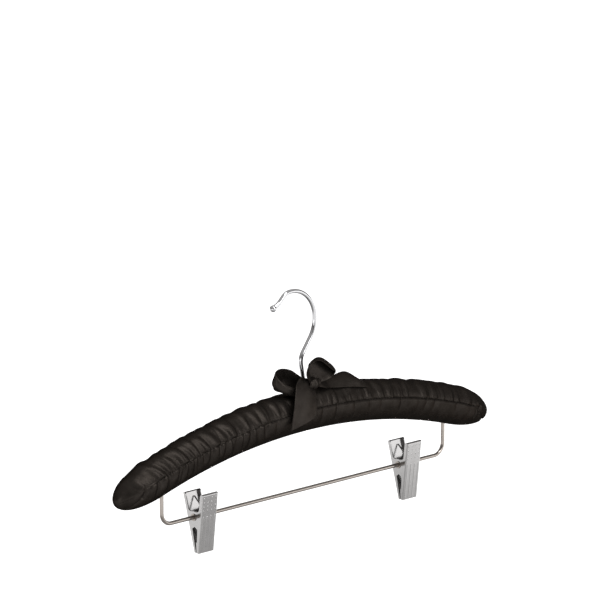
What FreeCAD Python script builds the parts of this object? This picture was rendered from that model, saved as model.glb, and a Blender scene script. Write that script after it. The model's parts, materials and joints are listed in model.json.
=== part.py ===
import FreeCAD, Part
import math
import os

# Padded clip hanger, in millimetres: X along the arm, Y from front to back, Z up.
# The shapes are made about the arm's middle, which is the point on the padding's
# centre line under the hook. They are written out about the hook's seat, which is
# where the hanger hangs on a rail.

# ---------------------------------------------------------------- driving sizes
# Padded arm
arm_length = 380.0
arch_radius = 502.0
pad_height_middle = 31.8
pad_height_end = 29.1
pad_depth_to_height = 0.924
pad_end_length = 37.3
pad_end_power = 2.2
pad_end_stations = (0.2, 0.4, 0.6, 0.76, 0.88, 0.95, 0.99)
pad_straight_stations = 4
cover_fold_depth = 1.5
layer_gap = 0.1
seam_height = 2.9

# Wooden core
core_length = 352.0
core_height = 15.0
core_depth = 13.0
core_corner = 4.0

# Hook
hook_wire_diameter = 3.4
hook_loop_radius = 24.0
hook_loop_x = -15.0
hook_loop_z = 67.3
hook_loop_start = -36.0
hook_loop_end = 92.0
hook_lean_start_z = 11.0
hook_lean_bend = 14.0
hook_throat_run = 17.4
hook_throat_bend = 11.0
hook_shoulder_bend = 11.0
hook_crook_x = -27.7
hook_crook_z = 84.1
hook_crook_slope = 43.0
hook_crook_bend = 6.0
hook_tip_slope = 27.0
hook_tip_run = 6.2
hook_ball_diameter = 5.2
hook_head_diameter = 5.8
hook_head_height = 1.6
washer_diameter = 9.0
washer_thickness = 0.8
bushing_diameter = 5.2
bushing_length = 8.0
bushing_flange_diameter = 8.0
bushing_flange_thickness = 0.6
counterbore_diameter = 10.0
counterbore_depth = 3.5
foam_hook_hole_diameter = 9.0
cover_hook_hole_diameter = 6.8

# Skirt bar
bar_wire_diameter = 3.0
bar_leg_spacing = 290.0
bar_drop = 61.5
bar_bend_radius = 9.0
bar_leg_top_z = -18.0

# Clips
clip_offset = 105.3
clip_lean = 4.5
clip_width = 16.4
sheet_thickness = 0.8
lever_half_angle = 10.8
lever_depth = 8.0
lever_top = 19.1
lever_bottom = -26.1
lever_corner = 1.0
flange_depth = 3.0
flange_inset = 0.9
flange_neck_z = 6.4
flange_taper = 0.4
flange_taper_height = 7.0
tab_radius = 4.4
tab_front_outline = [(-3.8, 5.0), (-2.0, 4.4), (0.0, 4.4), (1.0, -4.2), (0.0, -6.2), (-4.8, -8.2)]
top_lip_depth = 2.2
top_lip_fall = 1.5
jaw_lip_height = 8.0
jaw_half_gap = 0.05
dot_pitch_x = 3.8
dot_pitch_z = 3.2
dot_rows = 4
dot_columns = 4
first_dot_below_top = 2.8
rib_top_below_top = 17.2
rib_foot_above_bottom = 1.2
emboss_height = 0.3
emboss_radius = 0.9
sleeve_radius = 2.1
sleeve_collar_radius = 2.7
sleeve_collar_thickness = 0.5
spring_wire_diameter = 1.1
spring_coil_radius = 3.05
spring_full_turns = 3
spring_turn_gap = 0.15
spring_leg_height = 13.0
spring_leg_gap = 0.15

# Ribbon bow
ribbon_thickness = 0.6
ribbon_clearance = 0.3
knot_radii = (6.0, 4.6, 4.7)
knot_centre = (-2.4, -10.6, 20.6)
loop_left_centre = (-21.7, -2.3, 25.0)
loop_left_size = (27.0, 11.0, 18.0)
loop_right_centre = (5.5, -12.2, 32.3)
loop_right_size = (37.0, 7.6, 14.6)
front_tail_back_y = -4.5
front_tail_outline = [(-8.0, 17.0), (3.0, 15.5), (-4.0, -2.4), (-27.5, -9.8), (-24.0, 8.0)]
right_tail_outline = [(7.0, -12.5), (52.0, -10.6), (50.8, -1.8), (44.0, 4.0), (8.0, -4.0)]

# Fits
running_gap = 0.05
glue_gap = 0.02

# ---------------------------------------------------------------- worked-out sizes
wire_radius = hook_wire_diameter / 2
bar_radius = bar_wire_diameter / 2
seat_x = hook_loop_x
seat_z = hook_loop_z + hook_loop_radius - wire_radius
far = 1000.0
tiny = 0.01
x_axis = FreeCAD.Vector(1, 0, 0)
y_axis = FreeCAD.Vector(0, 1, 0)
z_axis = FreeCAD.Vector(0, 0, 1)
arch_centre = FreeCAD.Vector(0, 0, -arch_radius)


# ---------------------------------------------------------------- helpers
def box_between(low, high):
    size = [high[i] - low[i] for i in range(3)]
    return Part.makeBox(size[0], size[1], size[2], FreeCAD.Vector(*low))


def cylinder_along(axis, radius, start, end):
    """Cylinder about an axis through the origin, from start to end along it."""
    return Part.makeCylinder(radius, end - start, axis * start, axis)


def upright_cylinder(radius, x, low_z, high_z):
    return Part.makeCylinder(radius, high_z - low_z, FreeCAD.Vector(x, 0, low_z), z_axis)


def prism(points, direction):
    """Solid made by pushing a closed outline along direction."""
    outline = Part.makePolygon([FreeCAD.Vector(*p) for p in points + points[:1]])
    return Part.Face(outline).extrude(direction)


def bent_path(corners, radii):
    """Straight runs through the corners, joined by tangent arcs, in the XZ plane."""
    points = [FreeCAD.Vector(x, 0, z) for x, z in corners]
    edges = []
    start = points[0]
    for i, radius in enumerate(radii, start=1):
        back = (points[i - 1] - points[i]).normalize()
        on = (points[i + 1] - points[i]).normalize()
        half_turn = (math.pi - back.getAngle(on)) / 2
        reach = radius * math.tan(half_turn)
        arc_start = points[i] + back * reach
        arc_end = points[i] + on * reach
        inward = (back + on).normalize()
        arc_middle = points[i] + inward * (radius / math.cos(half_turn) - radius)
        if (arc_start - start).Length > 1e-3:
            edges.append(Part.LineSegment(start, arc_start).toShape())
        else:
            arc_start = start
        edges.append(Part.Arc(arc_start, arc_middle, arc_end).toShape())
        start = arc_end
    edges.append(Part.LineSegment(start, points[-1]).toShape())
    return Part.Wire(edges)


def wire_along(path, radius):
    """Round wire swept along a path of runs and arcs."""
    first = path.OrderedEdges[0]
    start = first.valueAt(first.FirstParameter)
    heading = first.tangentAt(first.FirstParameter)
    ring = Part.Wire(Part.makeCircle(radius, start, heading))
    solid = path.makePipeShell([ring], True, False)
    expected = math.pi * radius ** 2 * path.Length
    print("swept wire: volume over section times length = %.4f" % (solid.Volume / expected))
    return solid


def on_arch(shape, angle):
    """Turn a shape made at the arm's middle to its place along the arch."""
    turned = shape.copy()
    turned.rotate(arch_centre, y_axis, angle)
    return turned


# ---------------------------------------------------------------- padded arm
def pad_half_height(x, inset):
    """Half the padding's height at x, on a surface inset from the outer one."""
    half_length = arm_length / 2 - inset
    along = abs(x) / half_length
    half = pad_height_middle + (pad_height_end - pad_height_middle) * along ** 2
    into_end = max(0.0, (abs(x) - (half_length - pad_end_length)) / pad_end_length)
    return (half / 2 - inset) * math.sqrt(max(0.0, 1 - into_end ** pad_end_power))


def pad_solid(inset):
    """The padding's outer shape, made smaller all round by inset."""
    half_length = arm_length / 2 - inset
    straight = half_length - pad_end_length
    stations = [straight * i / pad_straight_stations for i in range(pad_straight_stations + 1)]
    stations += [straight + pad_end_length * part for part in pad_end_stations]
    sections = []
    for x in [-s for s in reversed(stations[1:])] + stations:
        height = pad_half_height(x, inset)
        depth = height * pad_depth_to_height
        oval = Part.Ellipse(FreeCAD.Vector(0, 0, height), FreeCAD.Vector(0, depth, 0),
                            FreeCAD.Vector(0, 0, 0))
        section = Part.Wire(oval.toShape())
        sections.append(on_arch(section, math.degrees(math.asin(x / arch_radius))))
    return Part.makeLoft(sections, True, False)


def leg_holes(gap):
    return [upright_cylinder(bar_radius + gap, side * bar_leg_spacing / 2,
                             -bar_drop, bar_leg_top_z + layer_gap) for side in (-1, 1)]


def core_bar(grow):
    """Curved lath of rounded rectangular section, grown all round by grow."""
    height = core_height + 2 * grow
    depth = core_depth + 2 * grow
    end_angle = math.degrees(math.asin((core_length / 2 + grow) / arch_radius))
    block = box_between((0, -depth / 2, -height / 2), (core_length, depth / 2, height / 2))
    long_edges = [e for e in block.Edges if e.BoundBox.XLength > core_length - tiny]
    rounded = block.makeFillet(core_corner + grow, long_edges)
    section = [f for f in rounded.Faces if f.BoundBox.XMax < tiny][0].copy()
    section.rotate(arch_centre, y_axis, -end_angle)
    return section.revolve(arch_centre, y_axis, 2 * end_angle)


def counterbore_roof():
    return -core_height / 2 + counterbore_depth


def make_wooden_core():
    core = core_bar(0)
    half = core_height / 2
    holes = leg_holes(running_gap)
    holes.append(upright_cylinder(wire_radius + running_gap, 0, -core_height, core_height))
    holes.append(upright_cylinder(counterbore_diameter / 2, 0, -core_height, counterbore_roof()))
    holes.append(upright_cylinder(bushing_diameter / 2 + glue_gap, 0,
                                  half - bushing_length + bushing_flange_thickness - glue_gap, half + 1))
    return core.cut(holes)


def make_foam():
    """Left and right foam sleeves, which meet at the hook."""
    foam = pad_solid(cover_fold_depth + layer_gap).cut(core_bar(layer_gap))
    holes = leg_holes(layer_gap)
    holes.append(upright_cylinder(foam_hook_hole_diameter / 2, 0, 0, pad_height_middle))
    foam = foam.cut(holes)
    left = foam.common(box_between((-far, -far, -far), (-layer_gap / 2, far, far)))
    right = foam.common(box_between((layer_gap / 2, -far, -far), (far, far, far)))
    return left, right


def make_cover():
    """Upper and lower gathered panels, which meet at the seam and are as thick as their folds."""
    cover = pad_solid(0).cut(pad_solid(cover_fold_depth))
    holes = leg_holes(layer_gap)
    holes.append(upright_cylinder(cover_hook_hole_diameter / 2, 0, 0, pad_height_middle))
    cover = cover.cut(holes)
    below_seam = Part.makeCylinder(arch_radius + seam_height, 2 * far,
                                   arch_centre - y_axis * far, y_axis)
    return cover.cut(below_seam), cover.common(below_seam)


# ---------------------------------------------------------------- hook
def hook_corners():
    """Corners of the hook's line: stem, throat, loop, crook and tip."""
    loop_turn = math.radians(hook_loop_end - hook_loop_start)
    corner_reach = hook_loop_radius / math.cos(loop_turn / 4)

    def on_loop(radius, angle):
        return (hook_loop_x + radius * math.cos(angle), hook_loop_z + radius * math.sin(angle))

    start = math.radians(hook_loop_start)
    loop_foot = on_loop(hook_loop_radius, start)
    throat = (loop_foot[0] + hook_throat_run * math.sin(start),
              loop_foot[1] - hook_throat_run * math.cos(start))
    loop = [on_loop(corner_reach, start + loop_turn * f) for f in (0.25, 0.75)]
    end = math.radians(hook_loop_end)
    leaving = on_loop(hook_loop_radius, end)
    crook_slope = math.tan(math.radians(hook_crook_slope))
    leaving_slope = -1 / math.tan(end)
    crook_height = hook_crook_z - crook_slope * hook_crook_x
    leaving_height = leaving[1] - leaving_slope * leaving[0]
    shoulder_x = (crook_height - leaving_height) / (leaving_slope - crook_slope)
    shoulder = (shoulder_x, leaving_height + leaving_slope * shoulder_x)
    tip_slope = math.radians(hook_tip_slope)
    tip = (hook_crook_x - hook_tip_run * math.cos(tip_slope),
           hook_crook_z - hook_tip_run * math.sin(tip_slope))
    foot = (0.0, counterbore_roof() - washer_thickness - running_gap - hook_head_height)
    return [foot, (0.0, hook_lean_start_z), throat] + loop + [shoulder, (hook_crook_x, hook_crook_z), tip]


def make_hook():
    """The wire with its peened head, and the ball on its tip."""
    corners = hook_corners()
    loop_bend = hook_loop_radius - tiny
    bends = [hook_lean_bend, hook_throat_bend, loop_bend, loop_bend, hook_shoulder_bend, hook_crook_bend]
    wire = wire_along(bent_path(corners, bends), wire_radius)
    foot_z = corners[0][1]
    head = upright_cylinder(hook_head_diameter / 2, 0, foot_z, foot_z + hook_head_height)
    wire = wire.fuse(head).removeSplitter()
    tip = FreeCAD.Vector(corners[-1][0], 0, corners[-1][1])
    crook = FreeCAD.Vector(corners[-2][0], 0, corners[-2][1])
    ball = Part.makeSphere(hook_ball_diameter / 2, tip)
    bore = Part.makeCylinder(wire_radius + glue_gap, 2 * hook_ball_diameter, tip, crook - tip)
    return wire, ball.cut(bore)


def make_hook_bushing():
    top = core_height / 2
    flange = upright_cylinder(bushing_flange_diameter / 2, 0, top, top + bushing_flange_thickness)
    barrel = upright_cylinder(bushing_diameter / 2, 0, top + bushing_flange_thickness - bushing_length, top)
    bore = upright_cylinder(wire_radius + running_gap, 0, -core_height, core_height)
    return flange.fuse(barrel).cut(bore).removeSplitter()


def make_hook_washer():
    top = counterbore_roof()
    washer = upright_cylinder(washer_diameter / 2, 0, top - washer_thickness, top)
    return washer.cut(upright_cylinder(wire_radius + running_gap, 0, -core_height, core_height))


# ---------------------------------------------------------------- skirt bar
def make_skirt_bar():
    half = bar_leg_spacing / 2
    corners = [(-half, bar_leg_top_z), (-half, -bar_drop), (half, -bar_drop), (half, bar_leg_top_z)]
    return wire_along(bent_path(corners, [bar_bend_radius, bar_bend_radius]), bar_radius)


# ---------------------------------------------------------------- clips, about their pivot
def lever_side_outline():
    """Side view of a lever: a flange that widens into the pivot's tab."""
    back = -lever_depth
    edge = back + flange_depth
    handle = [(back, lever_bottom), (back, lever_top), (back + top_lip_depth, lever_top),
              (edge, lever_top - top_lip_fall), (edge, flange_neck_z)]
    foot = [(edge - flange_taper, lever_bottom + flange_taper_height),
            (edge - 2 * flange_taper, lever_bottom)]
    return [(-far, y, z) for y, z in handle + tab_front_outline + foot]


def embossing(plate_middle_x):
    """Dots over ribs on the outside of a lever's plate."""
    centre_y = -lever_depth + emboss_radius - emboss_height
    shapes = []
    rib_top = lever_top - rib_top_below_top
    for column in range(dot_columns):
        x = plate_middle_x + (column - (dot_columns - 1) / 2) * dot_pitch_x
        for row in range(dot_rows):
            z = lever_top - first_dot_below_top - row * dot_pitch_z
            shapes.append(Part.makeSphere(emboss_radius, FreeCAD.Vector(x, centre_y, z)))
        rib_foot = FreeCAD.Vector(x, centre_y, lever_bottom + rib_foot_above_bottom)
        shapes.append(Part.makeCylinder(emboss_radius, rib_top - rib_foot.z, rib_foot, z_axis))
        shapes.append(Part.makeSphere(emboss_radius, FreeCAD.Vector(x, centre_y, rib_top)))
        shapes.append(Part.makeSphere(emboss_radius, rib_foot))
    outside = box_between((-far, -far, -far), (far, -lever_depth + sheet_thickness / 2, far))
    joined = shapes[0].multiFuse(shapes[1:])
    return joined.common(outside)


def make_front_lever():
    """Stamped lever on the front of a clip, closed, about the pivot."""
    left = -clip_width / 2
    right = clip_width / 2 - flange_inset
    sheet = sheet_thickness
    blank = box_between((left, -lever_depth, lever_bottom), (right, tab_radius + 1, lever_top))
    bends = [e for e in blank.Edges if e.BoundBox.YMax < -lever_depth + tiny
             and (e.BoundBox.XLength < tiny or e.BoundBox.ZMin > lever_top - tiny)]
    blank = blank.makeFillet(lever_corner, bends)
    hollow = box_between((left + sheet, -lever_depth + sheet, lever_bottom - 1),
                         (right - sheet, tab_radius + 2, lever_top - sheet))
    channel = blank.cut(hollow)
    side = prism(lever_side_outline(), x_axis * 2 * far)
    side = side.fuse(cylinder_along(x_axis, tab_radius, -far, far))
    lever = channel.common(side)
    lever = lever.fuse(embossing((left + right) / 2))
    lever.rotate(FreeCAD.Vector(0, 0, 0), x_axis, lever_half_angle)
    lever = lever.fuse(jaw_lip(left + sheet, right - sheet))
    hole = cylinder_along(x_axis, sleeve_radius + running_gap, -clip_width, clip_width)
    return lever.cut(hole).removeSplitter()


def jaw_lip(left, right):
    """The lever's foot, folded in and up to make the flat that grips."""
    tilt = math.radians(lever_half_angle)
    foot_y = -lever_depth * math.cos(tilt) - lever_bottom * math.sin(tilt)
    foot_z = lever_bottom * math.cos(tilt) - lever_depth * math.sin(tilt)
    sheet = sheet_thickness
    grip = box_between((left, -jaw_half_gap - sheet, foot_z), (right, -jaw_half_gap, foot_z + jaw_lip_height))
    fold = box_between((left, foot_y + sheet / 2, foot_z), (right, -jaw_half_gap, foot_z + sheet))
    return grip.fuse(fold)


def turned_about_z(shape):
    turned = shape.copy()
    turned.rotate(FreeCAD.Vector(0, 0, 0), z_axis, 180)
    return turned


def make_sleeve():
    """Flanged tube that the levers turn on and that slides on the bar."""
    half = clip_width / 2 + running_gap
    tube = cylinder_along(x_axis, sleeve_radius, -half, half)
    collars = [cylinder_along(x_axis, sleeve_collar_radius, half, half + sleeve_collar_thickness),
               cylinder_along(x_axis, sleeve_collar_radius, -half - sleeve_collar_thickness, -half)]
    bore = cylinder_along(x_axis, bar_radius + running_gap, -clip_width, clip_width)
    return tube.multiFuse(collars).cut(bore).removeSplitter()


def make_spring():
    """Torsion spring: a coil about the sleeve and a leg behind each lever's handle."""
    wire = spring_wire_diameter / 2
    tilt = math.radians(lever_half_angle)
    plate_reach = lever_depth - sheet_thickness - wire - spring_leg_gap
    leg_y = (plate_reach + spring_leg_height * math.sin(tilt)) / math.cos(tilt)
    leg_reach = math.hypot(leg_y, spring_leg_height)
    touch = math.atan2(spring_leg_height, leg_y) - math.acos(spring_coil_radius / leg_reach)
    turns = spring_full_turns + (math.pi + 2 * touch) / (2 * math.pi)
    pitch = spring_wire_diameter + spring_turn_gap
    length = pitch * turns

    def ring_point(x, angle):
        return FreeCAD.Vector(x, spring_coil_radius * math.cos(angle), spring_coil_radius * math.sin(angle))

    helix = Part.makeHelix(pitch, length, spring_coil_radius)
    ring = Part.Wire(Part.makeCircle(wire, FreeCAD.Vector(spring_coil_radius, 0, 0), y_axis))
    coil = Part.Wire(helix.Edges).makePipeShell([ring], True, True)
    coil.rotate(FreeCAD.Vector(0, 0, 0), FreeCAD.Vector(1, 1, 1), 120)
    coil.rotate(FreeCAD.Vector(0, 0, 0), x_axis, math.degrees(math.pi - touch))
    coil.translate(FreeCAD.Vector(-length / 2, 0, 0))
    legs = []
    for x, angle, tip_y in ((-length / 2, math.pi - touch, -leg_y), (length / 2, touch, leg_y)):
        start = ring_point(x, angle)
        run = FreeCAD.Vector(x, tip_y, spring_leg_height) - start
        legs.append(Part.makeCylinder(wire, run.Length, start, run))
        legs.append(Part.makeSphere(wire, start))
    return coil.multiFuse(legs)


def make_clip():
    """The four pieces of one clip, about its pivot."""
    front = make_front_lever()
    return {"front_jaw": front, "rear_jaw": turned_about_z(front), "sleeve": make_sleeve(),
            "spring": make_spring()}


# ---------------------------------------------------------------- ribbon bow
def make_ribbon_knot():
    ball = Part.makeSphere(1.0)
    matrix = FreeCAD.Matrix()
    matrix.scale(*knot_radii)
    knot = ball.transformGeometry(matrix)
    knot.translate(FreeCAD.Vector(*knot_centre))
    return knot


def make_ribbon_loop(centre, size):
    """One loop of the bow: a folded ribbon bent round into an upright oval band."""
    def oval(shrink):
        curve = Part.Ellipse(x_axis * (size[0] / 2 - shrink), z_axis * (size[2] / 2 - shrink),
                             FreeCAD.Vector(0, 0, 0))
        return Part.Face(Part.Wire(curve.toShape())).extrude(y_axis * size[1])

    band = oval(0).cut(oval(ribbon_thickness))
    band.translate(FreeCAD.Vector(centre[0], centre[1] - size[1] / 2, centre[2]))
    return band


def make_ribbon_tails():
    """Two flat tails that lie on the cover: one down its front, one along its top."""
    sheet = pad_solid(-ribbon_clearance - ribbon_thickness).cut(pad_solid(-ribbon_clearance))
    front = prism([(x, front_tail_back_y, z) for x, z in front_tail_outline], y_axis * -far)
    top = prism([(x, y, 0) for x, y in right_tail_outline], z_axis * far)
    return sheet.common(front), sheet.common(top)


def export(name, shape):
    moved = shape.copy()
    moved.translate(FreeCAD.Vector(-seat_x, 0, -seat_z))
    solids = moved.Solids
    box = moved.BoundBox
    print("%-24s solids %d valid %s volume %9.1f  x %7.1f %7.1f  y %6.1f %6.1f  z %7.1f %7.1f" % (
        name, len(solids), moved.isValid(), moved.Volume,
        box.XMin, box.XMax, box.YMin, box.YMax, box.ZMin, box.ZMax))
    result = solids[0] if len(solids) == 1 else Part.makeCompound(solids)
    result.exportStep("parts/%s.step" % name)


def main():
    os.makedirs("parts", exist_ok=True)
    export("wooden_core", make_wooden_core())
    foam_left, foam_right = make_foam()
    export("foam_left", foam_left)
    export("foam_right", foam_right)
    cover_upper, cover_lower = make_cover()
    export("cover_upper", cover_upper)
    export("cover_lower", cover_lower)
    hook_wire, hook_tip_ball = make_hook()
    export("hook_wire", hook_wire)
    export("hook_tip_ball", hook_tip_ball)
    export("hook_bushing", make_hook_bushing())
    export("hook_washer", make_hook_washer())
    export("skirt_bar", make_skirt_bar())
    export("ribbon_knot", make_ribbon_knot())
    export("ribbon_loop_left", make_ribbon_loop(loop_left_centre, loop_left_size))
    export("ribbon_loop_right", make_ribbon_loop(loop_right_centre, loop_right_size))
    front_tail, right_tail = make_ribbon_tails()
    export("ribbon_tail_front", front_tail)
    export("ribbon_tail_right", right_tail)
    clip = make_clip()
    for side, offset in (("left", -clip_offset), ("right", clip_offset)):
        for piece, shape in clip.items():
            placed = shape.copy()
            placed.rotate(FreeCAD.Vector(0, 0, 0), x_axis, -clip_lean)
            placed.translate(FreeCAD.Vector(offset, 0, -bar_drop))
            export("clip_%s_%s" % (side, piece), placed)


main()
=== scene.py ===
import json
import math
from collections import namedtuple

import bpy
import numpy as np
from mathutils import Matrix, Vector


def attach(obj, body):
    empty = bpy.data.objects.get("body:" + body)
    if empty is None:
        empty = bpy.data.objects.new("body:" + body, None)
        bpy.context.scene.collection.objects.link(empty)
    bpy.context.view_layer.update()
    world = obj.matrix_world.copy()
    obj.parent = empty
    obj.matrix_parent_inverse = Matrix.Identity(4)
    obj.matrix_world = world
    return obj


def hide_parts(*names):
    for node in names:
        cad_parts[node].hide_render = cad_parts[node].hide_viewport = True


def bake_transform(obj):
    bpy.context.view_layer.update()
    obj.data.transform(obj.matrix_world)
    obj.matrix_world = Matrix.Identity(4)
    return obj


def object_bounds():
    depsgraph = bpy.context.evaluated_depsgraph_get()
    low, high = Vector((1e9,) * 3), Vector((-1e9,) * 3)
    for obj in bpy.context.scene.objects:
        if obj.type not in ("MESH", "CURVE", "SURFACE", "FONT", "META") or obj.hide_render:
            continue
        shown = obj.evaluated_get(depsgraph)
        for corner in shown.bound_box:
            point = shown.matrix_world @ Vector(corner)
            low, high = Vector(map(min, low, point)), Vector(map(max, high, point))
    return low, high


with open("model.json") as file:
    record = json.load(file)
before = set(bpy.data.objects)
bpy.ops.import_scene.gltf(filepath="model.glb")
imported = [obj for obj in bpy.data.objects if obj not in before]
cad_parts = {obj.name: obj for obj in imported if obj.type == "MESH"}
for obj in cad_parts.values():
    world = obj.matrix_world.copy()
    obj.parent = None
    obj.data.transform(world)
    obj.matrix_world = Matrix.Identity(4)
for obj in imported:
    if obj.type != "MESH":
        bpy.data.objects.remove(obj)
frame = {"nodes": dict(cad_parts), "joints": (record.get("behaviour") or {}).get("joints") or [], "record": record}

cad_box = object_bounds()
nodes = frame["nodes"]
joints = {joint["name"]: joint for joint in frame["joints"]}

# ---------------------------------------------------------------- sizes, in metres
# The padded arm is a tube bent along an arch. Its middle is on the hook's axis.
arm_middle = Vector(joints["hook_swivel"]["pos_m"])
arm_length = 0.380
arch_radius = 0.502
pad_half_height_middle = 0.0159
pad_half_height_end = 0.01455
pad_depth_to_height = 0.924
pad_end_length = 0.0373
pad_end_power = 2.2

# Cover. Its seams run this many degrees above the middle of the arm's front and back.
seam_angle = 11.0
cover_cut_length = 0.435
deepest_fold = 0.00125
highest_crest = 0.0003
fold_room = highest_crest + deepest_fold
settled_crest_room = 0.0003
seam_tuck_depth = 0.0007
seam_tuck_angle = 3.0

# Creases run round the arm from a seam. Their drift, waver and widening are per
# crease_angle_unit degrees round. They grow calmer towards the arm's ends.
crease_seed = 11
crease_span = 0.178
crease_angle_unit = 60.0
crease_widening = 0.8
crease_wave_rate = 3.0
crease_wave_shift = 800.0
crease_slant = 0.035
crease_end_softness = 0.16
far_crease_share = 0.22
near_seam_angle = 52.0
low_left_limit = -0.05
calm_start = 0.140
calm_length = 0.035
calm_share = 0.8

# The cloth settles at an enlarged scale, which Blender's cloth settings suit.
cloth_scale = 20.0
cloth_frames = 16
cloth_start_share = 0.35
loose_pin = 0.05
firm_end_start = 0.160
firm_end_length = 0.020

# Ribbon
ribbon_thickness = 0.00035

# Springs
clip_lean = math.radians(-4.5)
spring_wire_radius = 0.00055
spring_coil_radius = 0.00305
spring_coil_half_length = 0.0021
spring_turns = 3.356
spring_leg_y = 0.0091
spring_leg_z = 0.0130

# Camera
camera_azimuth = math.radians(44.0)
camera_elevation = math.radians(13.33)
camera_distance = 3.836
camera_lens_mm = 311.0
aim_left_of_arm = 0.0042
aim_above_arm = 0.0802

# Floor
floor_reach = 40.0
floor_drop = 0.12


# ---------------------------------------------------------------- mesh helpers
def new_object(name, vertices, faces):
    """A smooth-shaded mesh object in the scene."""
    mesh = bpy.data.meshes.new(name)
    mesh.from_pydata([tuple(vertex) for vertex in vertices], [], faces)
    mesh.update()
    mesh.polygons.foreach_set("use_smooth", [True] * len(mesh.polygons))
    piece = bpy.data.objects.new(name, mesh)
    bpy.context.scene.collection.objects.link(piece)
    return piece


def grid_faces(rows, columns, closed=False):
    """Quads of a grid whose vertices run row by row; closed joins each row's ends."""
    faces = []
    last = columns if closed else columns - 1
    for row in range(rows - 1):
        here = row * columns
        below = here + columns
        for column in range(last):
            following = (column + 1) % columns
            faces.append((here + column, here + following, below + following, below + column))
    return faces


def thicken(piece, thickness):
    """Give a sheet its thickness, half to each side."""
    solid = piece.modifiers.new("Thickness", "SOLIDIFY")
    solid.thickness = thickness
    solid.offset = 0.0
    solid.use_even_offset = True
    depsgraph = bpy.context.evaluated_depsgraph_get()
    mesh = bpy.data.meshes.new_from_object(piece.evaluated_get(depsgraph))
    piece.modifiers.clear()
    piece.data = mesh


# ---------------------------------------------------------------- material helpers
class Nodes:
    """Short way to add and join a material's nodes."""

    def __init__(self, name):
        self.material = bpy.data.materials.new(name)
        self.material.use_nodes = True
        self.tree = self.material.node_tree
        self.shader = self.tree.nodes["Principled BSDF"]

    def add(self, kind, **settings):
        node = self.tree.nodes.new(kind)
        for key, value in settings.items():
            setattr(node, key, value)
        return node

    def link(self, source, target):
        self.tree.links.new(source, target)

    def set(self, **values):
        for key, value in values.items():
            self.shader.inputs[key.replace("_", " ")].default_value = value

    def place(self, scale=(1.0, 1.0, 1.0)):
        """Object coordinates, each times its scale."""
        coordinates = self.add("ShaderNodeTexCoord")
        mapping = self.add("ShaderNodeMapping")
        mapping.inputs["Scale"].default_value = scale
        self.link(coordinates.outputs["Object"], mapping.inputs["Vector"])
        return mapping.outputs["Vector"]

    def noise(self, scale, detail=3.0, roughness=0.5, stretch=(1.0, 1.0, 1.0)):
        noise = self.add("ShaderNodeTexNoise")
        noise.inputs["Scale"].default_value = scale
        noise.inputs["Detail"].default_value = detail
        noise.inputs["Roughness"].default_value = roughness
        self.link(self.place(stretch), noise.inputs["Vector"])
        return noise.outputs["Fac"]

    def ramp(self, value, stops):
        ramp = self.add("ShaderNodeValToRGB")
        elements = ramp.color_ramp.elements
        while len(elements) < len(stops):
            elements.new(0.5)
        for element, (position, colour) in zip(elements, stops):
            element.position = position
            element.color = (*colour, 1.0)
        self.link(value, ramp.inputs["Fac"])
        return ramp.outputs["Color"]

    def spread(self, value, low, high):
        """Value from 0 to 1 spread from low to high."""
        spread = self.add("ShaderNodeMapRange")
        spread.inputs["To Min"].default_value = low
        spread.inputs["To Max"].default_value = high
        self.link(value, spread.inputs["Value"])
        return spread.outputs["Result"]

    def bump(self, height, strength, distance, under=None):
        bump = self.add("ShaderNodeBump")
        bump.inputs["Strength"].default_value = strength
        bump.inputs["Distance"].default_value = distance
        self.link(height, bump.inputs["Height"])
        if under is not None:
            self.link(under, bump.inputs["Normal"])
        return bump.outputs["Normal"]


def satin_material(name, dark, light, roughness, weave_scale, gloss_share):
    """Black satin: a close weave, a soft broad gloss and faint slubs along the yarn."""
    look = Nodes(name)
    tone = look.noise(180.0, detail=4.0)
    look.link(look.ramp(tone, [(0.3, dark), (0.7, light)]), look.shader.inputs["Base Color"])
    gloss = look.noise(60.0)
    look.link(look.spread(gloss, roughness - 0.05, roughness + 0.07), look.shader.inputs["Roughness"])
    weave = look.add("ShaderNodeTexWave", wave_type="BANDS", bands_direction="DIAGONAL")
    weave.inputs["Scale"].default_value = weave_scale
    weave.inputs["Distortion"].default_value = 0.6
    weave.inputs["Detail"].default_value = 2.0
    look.link(look.place(), weave.inputs["Vector"])
    slub = look.noise(900.0, detail=2.0, stretch=(0.25, 1.0, 1.0))
    woven = look.bump(weave.outputs["Fac"], strength=0.12, distance=0.00008)
    look.link(look.bump(slub, strength=0.10, distance=0.0001, under=woven), look.shader.inputs["Normal"])
    look.set(Metallic=gloss_share, Specular_IOR_Level=0.0, Specular_Tint=(0.14, 0.12, 0.11, 1.0))
    return look.material


def metal_material(name, colour, roughness, grain, spots):
    """Plated metal: clear reflections, with faint drawing lines and handling haze."""
    look = Nodes(name)
    haze = look.noise(220.0, detail=5.0, roughness=0.6)
    spotted = tuple(channel * (1.0 - spots) for channel in colour)
    look.link(look.ramp(haze, [(0.35, spotted), (0.65, colour)]), look.shader.inputs["Base Color"])
    look.link(look.spread(haze, roughness * 0.8, roughness * 1.5), look.shader.inputs["Roughness"])
    lines = look.noise(1500.0, detail=2.0, stretch=(0.06, 1.0, 1.0))
    dents = look.noise(420.0, detail=2.0)
    drawn = look.bump(lines, strength=grain, distance=0.00004)
    look.link(look.bump(dents, strength=grain, distance=0.00006, under=drawn), look.shader.inputs["Normal"])
    look.set(Metallic=1.0)
    return look.material


def wood_material():
    """Plain sanded beech with its grain along the arm."""
    look = Nodes("beech_wood")
    grain = look.noise(90.0, detail=6.0, roughness=0.65, stretch=(0.08, 1.0, 1.0))
    stops = [(0.3, (0.42, 0.26, 0.14)), (0.55, (0.62, 0.43, 0.26)), (0.75, (0.70, 0.52, 0.34))]
    look.link(look.ramp(grain, stops), look.shader.inputs["Base Color"])
    look.link(look.bump(grain, strength=0.3, distance=0.0002), look.shader.inputs["Normal"])
    look.set(Roughness=0.6)
    return look.material


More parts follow.
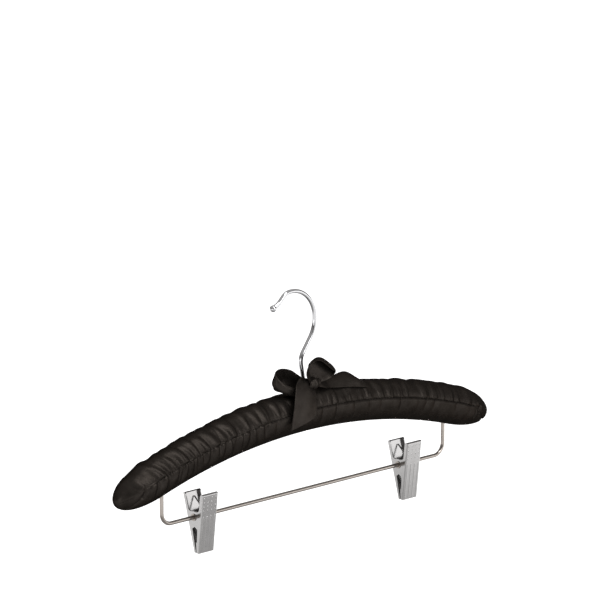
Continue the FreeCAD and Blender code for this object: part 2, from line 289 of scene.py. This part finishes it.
def foam_material():
    """Pale open foam with fine cells."""
    look = Nodes("foam")
    cells = look.add("ShaderNodeTexVoronoi")
    cells.inputs["Scale"].default_value = 900.0
    look.link(look.place(), cells.inputs["Vector"])
    wall = cells.outputs["Distance"]
    look.link(look.ramp(wall, [(0.0, (0.62, 0.60, 0.52)), (0.6, (0.88, 0.87, 0.82))]),
              look.shader.inputs["Base Color"])
    look.link(look.bump(wall, strength=0.5, distance=0.0004), look.shader.inputs["Normal"])
    look.set(Roughness=0.9)
    return look.material


# ---------------------------------------------------------------- padded arm's surface
def pad_half_height(x):
    """Half the padding's height at x along the arm, which runs out to nothing at its ends."""
    along = np.abs(x) / (arm_length / 2)
    half = pad_half_height_middle + (pad_half_height_end - pad_half_height_middle) * along ** 2
    into_end = np.clip((np.abs(x) - (arm_length / 2 - pad_end_length)) / pad_end_length, 0.0, 1.0)
    return half * np.sqrt(np.clip(1.0 - into_end ** pad_end_power, 0.0, 1.0))


def pad_points(x, angle, lift):
    """Points on the padding at x along the arm and angle round it, lifted off it.

    The angle is in degrees: 0 is the front, 90 the top, 180 the back and 270 below.
    """
    x, angle, lift = np.broadcast_arrays(x, np.radians(angle), lift)
    turn = np.arcsin(np.clip(x / arch_radius, -1, 1))
    half = pad_half_height(x)
    up = (half + lift) * np.sin(angle)
    out = (half * pad_depth_to_height + lift) * np.cos(angle)
    points = np.stack([arch_radius * np.sin(turn) + up * np.sin(turn),
                       -out,
                       arch_radius * (np.cos(turn) - 1.0) + up * np.cos(turn)], axis=-1)
    return points + np.array(arm_middle)


# ---------------------------------------------------------------- smooth curves
def smooth(points, count):
    """Count points on a smooth curve through points, whose first axis runs along it."""
    points = np.asarray(points, float)
    padded = np.concatenate([2 * points[:1] - points[1:2], points, 2 * points[-1:] - points[-2:-1]])
    place = np.linspace(0, len(points) - 1, count)
    start = np.minimum(place.astype(int), len(points) - 2)
    part = (place - start).reshape((-1,) + (1,) * (points.ndim - 1))
    before, here, there, after = (padded[start + k] for k in range(4))
    square = 2 * before - 5 * here + 4 * there - after
    cube = 3 * here - before - 3 * there + after
    return 0.5 * (2 * here + (there - before) * part + square * part ** 2 + cube * part ** 3)


def smooth_grid(rows, along, across):
    """A fine grid through a coarse one, along its rows and across them."""
    grid = smooth(rows, along)
    return np.swapaxes(smooth(np.swapaxes(grid, 0, 1), across), 0, 1)


# ---------------------------------------------------------------- gathered cover
Crease = namedtuple("Crease", "place depth width_before width_after reach drift waver")


def make_creases(rng, spacing, depth, width, reach):
    """Creases along one seam, each with its own place, size, reach in degrees, drift and waver."""
    creases = []
    place = -crease_span
    while place < crease_span:
        place += spacing * rng.uniform(0.5, 1.5)
        drift = rng.uniform(-0.0025, 0.0025) + crease_slant * min(place, 0.0)
        creases.append(Crease(
            place=place,
            depth=depth * rng.uniform(0.45, 1.2),
            width_before=width * rng.uniform(0.6, 1.0),
            width_after=width * rng.uniform(0.9, 1.7),
            reach=reach * rng.uniform(0.5, 1.5),
            drift=drift,
            waver=rng.uniform(-0.0008, 0.0008)))
    return creases


def crease_depth(creases, x, from_seam, roundness):
    """How deep the creases are at x and at an angle in degrees from their seam.

    Roundness 1 is a sharp crease between flat crests, 2 a rounded valley.
    """
    total = np.zeros(np.broadcast(x, from_seam).shape)
    turned = from_seam / crease_angle_unit
    near_seam = far_crease_share + (1.0 - far_crease_share) * np.exp(-(from_seam / near_seam_angle) ** 2)
    for crease in creases:
        wave = np.sin(crease_wave_rate * turned + crease_wave_shift * crease.place)
        across = x - crease.place - crease.drift * turned - crease.waver * wave
        width = np.where(across < 0, crease.width_before, crease.width_after)
        width = width * (1.0 + crease_widening * turned)
        beyond = (from_seam - crease.reach) / (crease_end_softness * crease.reach)
        fade = 1.0 / (1.0 + np.exp(beyond)) * near_seam
        total += crease.depth * fade * np.exp(-(np.abs(across) / width) ** roundness)
    return total


def from_seams(angle):
    """Degrees from the front seam and from the back one, and whether it is the upper panel."""
    angle = np.mod(angle, 360.0)
    upper = (angle > seam_angle) & (angle < 180.0 - seam_angle)
    front = np.where(upper, angle - seam_angle, np.mod(seam_angle - angle, 360.0))
    back = np.where(upper, 180.0 - seam_angle - angle, np.mod(angle - (180.0 - seam_angle), 360.0))
    return front, back, upper


def near_line(x, angle, line, width):
    """1 on a line drawn on the padding through points of x and angle, fading over width."""
    points = pad_points(x, angle, 0.0)
    corners = pad_points(*np.array(line).T, 0.0)
    nearest = np.full(points.shape[:-1], 1.0)
    for start, end in zip(corners[:-1], corners[1:]):
        run = end - start
        part = np.clip(((points - start) @ run) / (run @ run), 0.0, 1.0)
        nearest = np.minimum(nearest, np.linalg.norm(points - start - part[..., None] * run, axis=-1))
    return np.exp(-(nearest / width) ** 2)


def end_tucks(x, angle):
    """How far the cloth stands up or in where the tube is folded and sewn shut at each end."""
    lift = np.zeros(np.broadcast(x, angle).shape)
    for side in (-1, 1):
        pit = [(side * 0.1715, 2.0), (side * 0.1735, -9.0)]
        fold = [(side * 0.174, -8.0), (side * 0.180, -24.0), (side * 0.1845, -48.0), (side * 0.1875, -75.0)]
        cuff = [(side * 0.170, 24.0), (side * 0.1775, 12.0), (side * 0.181, -6.0)]
        crossing = [(side * 0.1685, 6.0), (side * 0.1690, -26.0)]
        back_pit, back_fold = ([(place, 180.0 - way) for place, way in line] for line in (pit, fold))
        for line, height, width in ((pit, -0.0010, 0.0016), (back_pit, -0.0010, 0.0016),
                                    (fold, -0.00085, 0.0009), (back_fold, -0.00085, 0.0009),
                                    (cuff, 0.00050, 0.0016), (crossing, -0.00060, 0.0006)):
            lift += height * near_line(x, angle, line, width)
    return lift


def cover_lift(x, angle):
    """How far the gathered satin stands off the smooth padding."""
    front, back, upper = from_seams(angle)
    creases = np.zeros(np.broadcast(x, angle).shape)
    for number, distance in enumerate((front, back)):
        rng = np.random.default_rng(crease_seed + number)
        broad = make_creases(rng, spacing=0.0074, depth=0.00170, width=0.0022, reach=110.0)
        fine = make_creases(rng, spacing=0.0050, depth=0.00060, width=0.0010, reach=45.0)
        low_broad = make_creases(rng, spacing=0.0160, depth=0.00060, width=0.0020, reach=45.0)
        low_fine = make_creases(rng, spacing=0.0052, depth=0.00150, width=0.0015, reach=42.0)
        low_left = [crease for crease in low_fine if crease.place < low_left_limit]
        above = crease_depth(broad, x, distance, 1.7) + crease_depth(fine, x, distance, 1.0)
        below = crease_depth(low_broad, x, distance, 1.2) + crease_depth(low_left, x, distance, 1.6)
        creases += np.where(upper, above, below)
    seam = np.minimum(front, back)
    seam = np.minimum(seam, 360.0 - np.maximum(front, back))
    tuck = seam_tuck_depth * np.exp(-(seam / seam_tuck_angle) ** 2)
    calm = 1.0 - calm_share * np.clip((np.abs(x) - calm_start) / calm_length, 0.0, 1.0) ** 2
    depth = (creases + tuck) * calm - end_tucks(x, angle)
    return highest_crest - fold_room * np.tanh(depth / fold_room)


def straight_tube(x, angle):
    """The cover's tube as it was cut: straight, and longer than the arm it is gathered on."""
    x, angle = np.broadcast_arrays(x, np.radians(angle))
    half = pad_half_height(x)
    along = x * cover_cut_length / arm_length
    return np.stack([along, -half * pad_depth_to_height * np.cos(angle), half * np.sin(angle)], axis=-1)


def relax_cloth(points, cut, faces, held):
    """Let cloth cut to one shape settle from another; held is each point's pin, 0 to 1."""
    cloth = new_object("settling_cloth", points * cloth_scale, faces)
    cloth.shape_key_add(name="Basis")
    key = cloth.shape_key_add(name="Cut")
    key.data.foreach_set("co", (cut * cloth_scale).astype(np.float32).ravel())
    key.value = 0.0
    pins = cloth.vertex_groups.new(name="pins")
    for index, weight in enumerate(held):
        pins.add([index], float(weight), "REPLACE")
    modifier = cloth.modifiers.new("Cloth", "CLOTH")
    settings = modifier.settings
    settings.quality = 6
    settings.mass = 0.15
    settings.tension_stiffness = settings.compression_stiffness = 40.0
    settings.shear_stiffness = 20.0
    settings.bending_model = "ANGULAR"
    settings.bending_stiffness = 0.2
    settings.tension_damping = settings.compression_damping = settings.shear_damping = 5.0
    settings.bending_damping = 0.5
    settings.air_damping = 2.0
    settings.rest_shape_key = key
    settings.vertex_group_mass = "pins"
    settings.pin_stiffness = 1.0
    settings.effector_weights.gravity = 0.0
    modifier.collision_settings.use_collision = False
    modifier.collision_settings.use_self_collision = False
    modifier.point_cache.frame_start = 1
    modifier.point_cache.frame_end = cloth_frames
    for number in range(1, cloth_frames + 1):
        bpy.context.scene.frame_set(number)
    settled = cloth.evaluated_get(bpy.context.evaluated_depsgraph_get()).to_mesh()
    result = np.empty(len(points) * 3, dtype=np.float32)
    settled.vertices.foreach_get("co", result)
    bpy.data.objects.remove(cloth)
    bpy.context.scene.frame_set(1)
    return result.reshape(-1, 3).astype(float) / cloth_scale


def settle_cover(x, angle):
    """How far each point of the cover moves off the padding as its loose cloth settles."""
    smooth_pad = pad_points(x, angle, 0.0)
    front, back, _ = from_seams(angle)
    sewn = np.minimum(front, back) < 1.0
    firm_end = np.clip((np.abs(x) - firm_end_start) / firm_end_length, 0.0, 1.0) ** 2
    held = np.maximum(np.where(sewn, 1.0, loose_pin), firm_end)
    start = pad_points(x, angle, cloth_start_share * cover_lift(x, angle))
    rows, columns = x.shape
    settled = relax_cloth(start.reshape(-1, 3), straight_tube(x, angle).reshape(-1, 3),
                          grid_faces(rows, columns, closed=True), held.ravel())
    return settled.reshape(smooth_pad.shape) - smooth_pad


def lay_cover(x, angle, moved):
    """The settled cloth with its sewn-in creases, kept in the room there is for folds."""
    smooth_pad = pad_points(x, angle, 0.0)
    outward = pad_points(x, angle, 0.001) - smooth_pad
    outward /= np.linalg.norm(outward, axis=-1, keepdims=True)
    settled = (moved * outward).sum(axis=-1)
    sideways = moved - settled[..., None] * outward
    lift = np.clip(cover_lift(x, angle) + settled, -deepest_fold, highest_crest + settled_crest_room)
    return smooth_pad + sideways + lift[..., None] * outward


def make_cover():
    """The satin tube as one closed grid, cut along its seams into an upper and a lower panel."""
    end_rows, middle_rows = 40, 420
    upper_columns, lower_columns = 34, 42
    end_turn = 0.5
    end_start = math.cos(end_turn)
    along = arm_length / 2 * np.concatenate([
        -np.cos(np.linspace(0.0, end_turn, end_rows, endpoint=False)),
        np.linspace(-end_start, end_start, middle_rows),
        np.cos(np.linspace(end_turn, 0.0, end_rows + 1)[1:])])
    back_seam = 180 - seam_angle
    angles = np.concatenate([
        np.linspace(seam_angle, back_seam, upper_columns, endpoint=False),
        np.linspace(back_seam, 360 + seam_angle, lower_columns, endpoint=False)])
    x, angle = np.meshgrid(along, angles, indexing="ij")
    # Each point of the grid holds its x, its angle and the three parts of its move.
    tube = np.concatenate([x[..., None], angle[..., None], settle_cover(x, angle)], axis=-1)
    once_round = np.array([0.0, 360.0, 0.0, 0.0, 0.0])
    tube = np.concatenate([tube, tube[:, :1] + once_round], axis=1)
    panels = {"cover_upper": tube[:, :upper_columns + 1], "cover_lower": tube[:, upper_columns:]}
    for node, panel in panels.items():
        fine = smooth_grid(panel, 2 * panel.shape[0] - 1, 2 * panel.shape[1] - 1)
        points = lay_cover(fine[..., 0], fine[..., 1], fine[..., 2:])
        piece = new_object("satin_" + node, points.reshape(-1, 3), grid_faces(*points.shape[:2]))
        piece.data.materials.append(satin)
        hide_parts(node)
        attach(piece, "arm")


# ---------------------------------------------------------------- wire and thread
def rod(points, radius, sides):
    """Vertices and faces of a round rod along points, rounded off at its ends."""
    cap_reach = radius * 0.7
    cap_share = 0.55
    askew = (0.31, 0.52, 0.79)
    points = np.asarray(points, float)
    heading = np.gradient(points, axis=0)
    heading /= np.linalg.norm(heading, axis=1, keepdims=True)
    side = np.cross(heading[0], askew)
    turns = np.linspace(0.0, 2 * math.pi, sides, endpoint=False)[:, None]
    rings = []
    for point, ahead in zip(points, heading):
        side = side - ahead * (side @ ahead)
        side /= np.linalg.norm(side)
        rings.append((point, side * np.cos(turns) + np.cross(ahead, side) * np.sin(turns), 1.0))
    rings.insert(0, (points[0] - heading[0] * cap_reach, rings[0][1], cap_share))
    rings.append((points[-1] + heading[-1] * cap_reach, rings[-1][1], cap_share))
    vertices = np.concatenate([place + ring * radius * share for place, ring, share in rings])
    faces = grid_faces(len(rings), sides, closed=True)
    faces.append(tuple(range(sides))[::-1])
    faces.append(tuple(range(len(vertices) - sides, len(vertices))))
    return vertices, [face[::-1] for face in faces]


def make_stitches():
    """Thread that shows as short dashes along the front and back seams."""
    seam_end, pitch, length, radius = 0.166, 0.0030, 0.0019, 0.00016
    rise, sunk = 0.00018, 0.00030
    steps, sides = 5, 6
    arch = np.sin(np.linspace(0.0, math.pi, steps)) * rise
    vertices, faces = [], []
    for seam in (seam_angle, 180.0 - seam_angle):
        place = -seam_end
        while place < seam_end:
            line = pad_points(np.linspace(place, place + length, steps), seam, arch - sunk)
            stitch_vertices, stitch_faces = rod(line, radius, sides)
            first = len(vertices)
            vertices.extend(stitch_vertices)
            faces.extend(tuple(first + corner for corner in face) for face in stitch_faces)
            place += pitch
    piece = new_object("seam_thread", vertices, faces)
    piece.data.materials.append(thread_material)
    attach(piece, "arm")


# ---------------------------------------------------------------- ribbon bow
# Rows of points across each ribbon, in millimetres about the arm's middle. The tails run out
# from the knot, and the loops run out from it and back.
front_tail_rows = [
    [(-8, -7, 21.5), (-6, -8, 22), (-3, -9, 21)],
    [(-12.3, -7, 26.4), (-9.1, -8.5, 26.2), (-4.2, -9.2, 24)],
    [(-19.2, -10.2, 23.9), (-10.1, -11.5, 22.7), (-2.1, -11, 18.4)],
    [(-23.3, -13.5, 20), (-11.8, -14.7, 17.2), (-2, -13.4, 13)],
    [(-27.4, -16.5, 10.7), (-14.9, -17.4, 8.3), (-3.7, -15.9, 6.1)],
    [(-29.9, -17.4, 1.4), (-17.7, -18.4, 0.3), (-5.2, -17.2, -0.6)],
    [(-32.6, -18.2, -8.2), (-19.4, -19.3, -5), (-5.9, -17.9, -1.9)]]
right_tail_rows = [
    [(-2, -11, 19.5), (-1, -9.5, 21.5), (0, -8, 21), (1.5, -7.5, 19.5)],
    [(4.5, -11, 17.6), (6, -9.2, 20.8), (7.5, -7.5, 21.5), (9.5, -5, 19.6)],
    [(10.5, -10.5, 15.6), (11, -8.2, 18.6), (12, -5.5, 20.4), (13.5, -2, 18.6)],
    [(17, -8.6, 14.4), (17, -6.2, 18.2), (18, -3, 19.8), (19, 2, 17.2)],
    [(27, -9, 13), (27, -6, 17.8), (27.5, -0.5, 20), (28.5, 5, 16.2)],
    [(37, -9.4, 11.8), (36.8, -6, 17.4), (36.4, 1.5, 20.9), (37, 7.5, 15)],
    [(46.4, -10, 10.1), (45.4, -6.5, 16), (44, 3, 19.9), (45, 8, 13.6)],
    [(50.5, -10.2, 9.5), (50, -6, 14.2), (49, 2, 16.7), (50, 7, 13)],
    [(54, -10.2, 8.9), (53.6, -6, 12.2), (53, -0.5, 13.6), (53, 6, 12.4)]]
left_loop_rows = [
    [(-2, -10, 22.5), (-2, -10.8, 20.5), (-2, -9.5, 18.5), (-2, -8.5, 18)],
    [(-10, -10.5, 21), (-10, -11.4, 18.4), (-10, -10.2, 15.8), (-10, -7.5, 16.6)],
    [(-18.9, -9.7, 20.3), (-19.2, -10.9, 17.4), (-19.4, -9.2, 14.9), (-18.6, -5.5, 16.4)],
    [(-24.7, -9.2, 22.6), (-24.9, -10.5, 19.5), (-24.9, -8.9, 16.4), (-24, -4.5, 16.6)],
    [(-29.9, -8, 25.6), (-30.4, -9.2, 22.2), (-30.4, -7.4, 18.7), (-29, -3, 17.8)],
    [(-33.2, -6, 28.8), (-34.2, -6.8, 25.2), (-34, -4.9, 21), (-31.5, -1.5, 18.8)],
    [(-34, -4, 31.8), (-35.4, -4.4, 28), (-35, -2.6, 23.2), (-32, 0.5, 19.8)],
    [(-32.4, -2, 33.8), (-34.2, -1.4, 29.8), (-33.8, 0.4, 24.6), (-30.6, 2, 20)],
    [(-27.2, -0.5, 34.6), (-28.6, 1.6, 30), (-28.5, 3, 24.8), (-26.6, 3, 19.6)],
    [(-20.7, 0.2, 33.7), (-21.6, 2.6, 29), (-21.5, 3.4, 24), (-20.5, 2, 18.6)],
    [(-15.9, -1.6, 31.9), (-16.2, 0.6, 27.5), (-16, 1.2, 22.6), (-15, 0, 17.8)],
    [(-12.6, -4, 29), (-12.3, -2.8, 25), (-12, -2.4, 21), (-11.6, -3.5, 17.4)],
    [(-9.5, -6.5, 26.2), (-8.6, -6, 23.4), (-8, -6.4, 20.2), (-8, -6.8, 17.4)],
    [(-3, -9, 23.5), (-2.6, -8.6, 21.8), (-2, -8.5, 19.8), (-2, -8.5, 18.4)]]
right_loop_rows = [
    [(-3, -12, 22), (-2, -10, 21.5), (-1.5, -8.8, 22.5)],
    [(-10.2, -13.5, 26.3), (-6.5, -11.2, 25.6), (-3, -8.6, 27)],
    [(-13.6, -15.2, 30), (-9.2, -11.5, 29.8), (-4, -8.6, 30.5)],
    [(-12.9, -15.5, 34.3), (-9, -11.5, 34.4), (-4, -8.4, 34.4)],
    [(-9.5, -15.5, 37.5), (-5.4, -11.6, 38), (-1, -8.4, 37.6)],
    [(-3.9, -15.5, 39.6), (-0.2, -11.8, 40.2), (3, -8.4, 39.4)],
    [(1.8, -15.5, 38.2), (4.8, -11.6, 39.4), (7.8, -7.8, 38.9)],
    [(7.9, -15.5, 33.7), (10.8, -11.5, 35.6), (13, -7.5, 36.2)],
    [(12.4, -15.3, 30.2), (16.4, -11.5, 31.6), (18.5, -7.5, 32)],
    [(16.5, -14.5, 27.2), (19.5, -11.5, 27.6), (20, -7.6, 30)],
    [(10.5, -14, 23.4), (13, -11, 28), (12.5, -7.4, 36)],
    [(4.9, -13, 22), (5.5, -10.6, 29), (4, -8.0, 39.8)],
    [(1.5, -12.2, 21.6), (-0.5, -10.2, 28.5), (-4.8, -8.2, 36)],
    [(-1, -11.5, 21), (-2.2, -9.9, 24), (-5.4, -8.5, 28)]]
knot_middle = np.array([-2.7, -10.6, 21.6])


def make_ribbon(name, node, grid):
    """One ribbon from a grid of points in millimetres, as a thin sheet that replaces its node."""
    grid = grid / 1000.0
    piece = new_object(name, (grid + np.array(arm_middle)).reshape(-1, 3), grid_faces(*grid.shape[:2]))
    thicken(piece, ribbon_thickness)
    piece.data.materials.append(ribbon_satin)
    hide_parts(node)
    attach(piece, "arm")


def wrinkle(grid, amount, waves, start, end):
    """Push a ribbon's grid in and out, in millimetres, with soft pleats across its width.

    They are full up to one share of its length and fade out at another.
    """
    slant = 2.2
    normal = np.cross(np.gradient(grid, axis=0), np.gradient(grid, axis=1))
    normal /= np.maximum(np.linalg.norm(normal, axis=-1, keepdims=True), 1e-9)
    share = np.linspace(0.0, 1.0, grid.shape[0])[:, None]
    side = np.linspace(0.0, 1.0, grid.shape[1])[None, :]
    fade = np.clip((end - share) / (end - start), 0.0, 1.0) ** 1.5
    pleat = np.sin(2 * math.pi * waves * side + slant * share) * fade
    return grid + amount * pleat[..., None] * normal


def knot_grid():
    """The band round the knot, in millimetres: pleated, full in its middle and pinched at its edges."""
    full_radius, pinch, pinch_power = 4.3, 0.45, 2.4
    pleat, pleat_bend, lump = 0.38, 0.9, 0.06
    half_width, skew = 5.6, 0.8
    rows, columns = 65, 41
    turn = np.linspace(0.0, 2 * math.pi, rows)[:, None]
    side = np.linspace(-1.0, 1.0, columns)[None, :]
    radius = full_radius * (1.0 - pinch * np.abs(side) ** pinch_power)
    pleats = pleat * np.cos(2.2 * math.pi * side + pleat_bend * np.sin(turn)) * (1 - side ** 2)
    radius = (radius + pleats) * (1.0 + lump * np.sin(2 * turn + 1.0))
    x = half_width * side + skew * np.sin(turn)
    return np.stack([x, radius * np.cos(turn), radius * np.sin(turn)], axis=-1) + knot_middle


def make_bow():
    """The bow's two tails, two loops and knot."""
    front_tail = smooth_grid(front_tail_rows, along=90, across=33)
    front_tail = wrinkle(front_tail, amount=0.35, waves=1.6, start=0.0, end=0.45)
    make_ribbon("bow_tail_front", "ribbon_tail_front", front_tail)
    right_tail = smooth_grid(right_tail_rows, along=100, across=33)
    right_tail = wrinkle(right_tail, amount=0.45, waves=1.4, start=0.0, end=0.6)
    make_ribbon("bow_tail_right", "ribbon_tail_right", right_tail)
    left_loop = smooth_grid(left_loop_rows, along=130, across=29)
    left_loop = wrinkle(left_loop, amount=0.30, waves=1.8, start=0.3, end=1.0)
    make_ribbon("bow_loop_left", "ribbon_loop_left", left_loop)
    right_loop = smooth_grid(right_loop_rows, along=130, across=25)
    right_loop = wrinkle(right_loop, amount=0.30, waves=1.3, start=0.1, end=0.9)
    make_ribbon("bow_loop_right", "ribbon_loop_right", right_loop)
    make_ribbon("bow_knot", "ribbon_knot", knot_grid())


# ---------------------------------------------------------------- clip springs
def make_spring(side):
    """Torsion spring of one clip: a leg behind each handle and a coil round the sleeve."""
    pivot = Vector(joints["clip_%s_swing" % side]["pos_m"])
    steps_a_turn, leg_steps, wire_sides = 28, 9, 14
    half_turn = math.pi * spring_turns
    middle_turn = 1.5 * math.pi
    turns = np.linspace(middle_turn - half_turn, middle_turn + half_turn, int(spring_turns * steps_a_turn))
    coil = np.stack([np.linspace(-spring_coil_half_length, spring_coil_half_length, len(turns)),
                     spring_coil_radius * np.cos(turns), spring_coil_radius * np.sin(turns)], axis=-1)
    front_tip = np.array([-spring_coil_half_length, -spring_leg_y, spring_leg_z])
    rear_tip = front_tip * (-1.0, -1.0, 1.0)
    shares = np.linspace(0.0, 1.0, leg_steps)[:, None]
    front_leg = front_tip + (coil[0] - front_tip) * shares[:-1]
    rear_leg = coil[-1] + (rear_tip - coil[-1]) * shares[1:]
    lean = np.array(Matrix.Rotation(clip_lean, 3, "X"))
    line = np.concatenate([front_leg, coil, rear_leg]) @ lean.T + np.array(pivot)
    piece = new_object("spring_" + side, *rod(line, spring_wire_radius, wire_sides))
    piece.data.materials.append(finishes["spring_steel"])
    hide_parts("clip_%s_spring" % side)
    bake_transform(piece)


# ---------------------------------------------------------------- materials
satin = satin_material(
    "black_satin", dark=(0.021, 0.0178, 0.0155), light=(0.030, 0.0258, 0.0227),
    roughness=0.30, weave_scale=900.0, gloss_share=0.6)
# Painted light: the ribbon's satin is a little lighter than the cover's, which brightens the shaded insides of the
# bow's loops.
ribbon_satin = satin_material(
    "ribbon_satin", dark=(0.025, 0.0214, 0.0188), light=(0.033, 0.0284, 0.0251),
    roughness=0.30, weave_scale=1100.0, gloss_share=0.6)
thread_material = satin_material(
    "black_thread", dark=(0.005, 0.0043, 0.0040), light=(0.009, 0.0078, 0.0070),
    roughness=0.6, weave_scale=2400.0, gloss_share=0.2)
finishes = {
    "beech": wood_material(),
    "foam": foam_material(),
    "satin": satin,
    "ribbon": ribbon_satin,
    "chrome": metal_material(
        "bright_chrome", colour=(0.52, 0.52, 0.53), roughness=0.09, grain=0.02, spots=0.03),
    "nickel_wire": metal_material(
        "nickel_wire", colour=(0.36, 0.327, 0.30), roughness=0.14, grain=0.10, spots=0.12),
    "nickel_sheet": metal_material(
        "nickel_sheet", colour=(0.47, 0.463, 0.461), roughness=0.16, grain=0.12, spots=0.06),
    "steel": metal_material(
        "zinc_steel", colour=(0.58, 0.59, 0.60), roughness=0.30, grain=0.15, spots=0.10),
    "spring_steel": metal_material(
        "spring_steel", colour=(0.70, 0.70, 0.70), roughness=0.14, grain=0.08, spots=0.05),
}


def finish_cad_nodes():
    """Give each CAD node the finish of its material slot."""
    for part in frame["record"]["subparts"]:
        piece = nodes[part["node"]]
        piece.data.materials.clear()
        piece.data.materials.append(finishes[part["material_slot"]])


# ---------------------------------------------------------------- stage, light and camera
def make_camera():
    """Camera to the front left, a little above, well back with a long lens."""
    right = Vector((math.cos(camera_azimuth), -math.sin(camera_azimuth), 0.0))
    ahead = Vector((math.sin(camera_azimuth) * math.cos(camera_elevation),
                    math.cos(camera_azimuth) * math.cos(camera_elevation),
                    -math.sin(camera_elevation)))
    up = right.cross(ahead)
    aim = arm_middle - right * aim_left_of_arm + up * aim_above_arm
    turned = Matrix((right, up, -ahead)).transposed().to_4x4()
    data = bpy.data.cameras.new("camera")
    data.sensor_width = 36.0
    data.lens = camera_lens_mm
    data.clip_end = 60.0
    camera = bpy.data.objects.new("camera", data)
    camera.matrix_world = Matrix.Translation(aim - ahead * camera_distance) @ turned
    bpy.context.scene.collection.objects.link(camera)
    bpy.context.scene.camera = camera


def area_light(name, place, size, power):
    """A rectangular lamp that faces the arm's middle."""
    data = bpy.data.lights.new(name, "AREA")
    data.shape = "RECTANGLE"
    data.size, data.size_y = size
    data.energy = power
    light = bpy.data.objects.new(name, data)
    light.location = place
    light.rotation_euler = (arm_middle - Vector(place)).to_track_quat("-Z", "Y").to_euler()
    bpy.context.scene.collection.objects.link(light)


def floor_painted_glow_material():
    """A pale floor with a painted glow: emission lights it behind the hanger and far round it, and leaves it plain
    grey near the hanger.
    """
    look = Nodes("pale_floor_painted_glow")
    shade = look.ramp(look.noise(3.0), [(0.3, (0.58, 0.58, 0.58)), (0.7, (0.62, 0.62, 0.62))])
    look.link(shade, look.shader.inputs["Base Color"])
    place = look.add("ShaderNodeTexCoord").outputs["Object"]
    behind = look.add("ShaderNodeVectorMath", operation="DOT_PRODUCT")
    behind.inputs[1].default_value = (math.sin(camera_azimuth), math.cos(camera_azimuth), 0.0)
    away = look.add("ShaderNodeVectorMath", operation="LENGTH")
    glow = look.add("ShaderNodeMath", operation="MAXIMUM")
    for distance, near, far, strength, target in ((behind, 0.10, 0.24, 1.0, glow.inputs[0]),
                                                  (away, 0.28, 0.55, 0.75, glow.inputs[1])):
        look.link(place, distance.inputs[0])
        rise = look.add("ShaderNodeMapRange", interpolation_type="SMOOTHSTEP")
        rise.inputs["From Min"].default_value = near
        rise.inputs["From Max"].default_value = far
        rise.inputs["To Max"].default_value = strength
        look.link(distance.outputs["Value"], rise.inputs["Value"])
        look.link(rise.outputs["Result"], target)
    # Painted light: the floor glows by emission, not by any lamp, strongest behind the hanger and far from it.
    look.link(glow.outputs["Value"], look.shader.inputs["Emission Strength"])
    look.set(Emission_Color=(1.0, 1.0, 1.0, 1.0), Roughness=0.8, Specular_IOR_Level=0.1)
    return look.material


def shade_world(tree):
    """Dim at the horizon and bright overhead, for streaks of dark in the bright metal."""
    coordinates = tree.nodes.new("ShaderNodeTexCoord")
    split = tree.nodes.new("ShaderNodeSeparateXYZ")
    ramp = tree.nodes.new("ShaderNodeValToRGB")
    low, high = ramp.color_ramp.elements
    low.position, high.position = 0.05, 0.75
    low.color = (0.16, 0.155, 0.15, 1.0)
    high.color = (0.80, 0.79, 0.78, 1.0)
    tree.links.new(coordinates.outputs["Generated"], split.inputs["Vector"])
    tree.links.new(split.outputs["Z"], ramp.inputs["Fac"])
    tree.links.new(ramp.outputs["Color"], tree.nodes["Background"].inputs["Color"])
    tree.nodes["Background"].inputs["Strength"].default_value = 0.8


def make_stage():
    """The floor, the world's light and three lamps."""
    corners = [(-floor_reach, -floor_reach, 0.0), (floor_reach, -floor_reach, 0.0),
               (floor_reach, floor_reach, 0.0), (-floor_reach, floor_reach, 0.0)]
    floor = new_object("floor", corners, [(0, 1, 2, 3)])
    floor.location.z = cad_box[0][2] - floor_drop
    floor.data.materials.append(floor_painted_glow_material())
    world = bpy.data.worlds.new("world")
    world.use_nodes = True
    shade_world(world.node_tree)
    bpy.context.scene.world = world
    area_light("arch", place=(0.14, -0.86, 0.80), size=(0.34, 2.0), power=11.5)
    area_light("front", place=(1.10, -1.15, 0.06), size=(1.0, 0.7), power=3.2)
    area_light("left", place=(-1.15, -0.35, -0.05), size=(0.5, 0.4), power=1.6)
    bpy.context.scene.view_settings.view_transform = "Standard"


# ---------------------------------------------------------------- the scene
finish_cad_nodes()
make_cover()
make_stitches()
make_bow()
for side in ("left", "right"):
    make_spring(side)
make_stage()
make_camera()
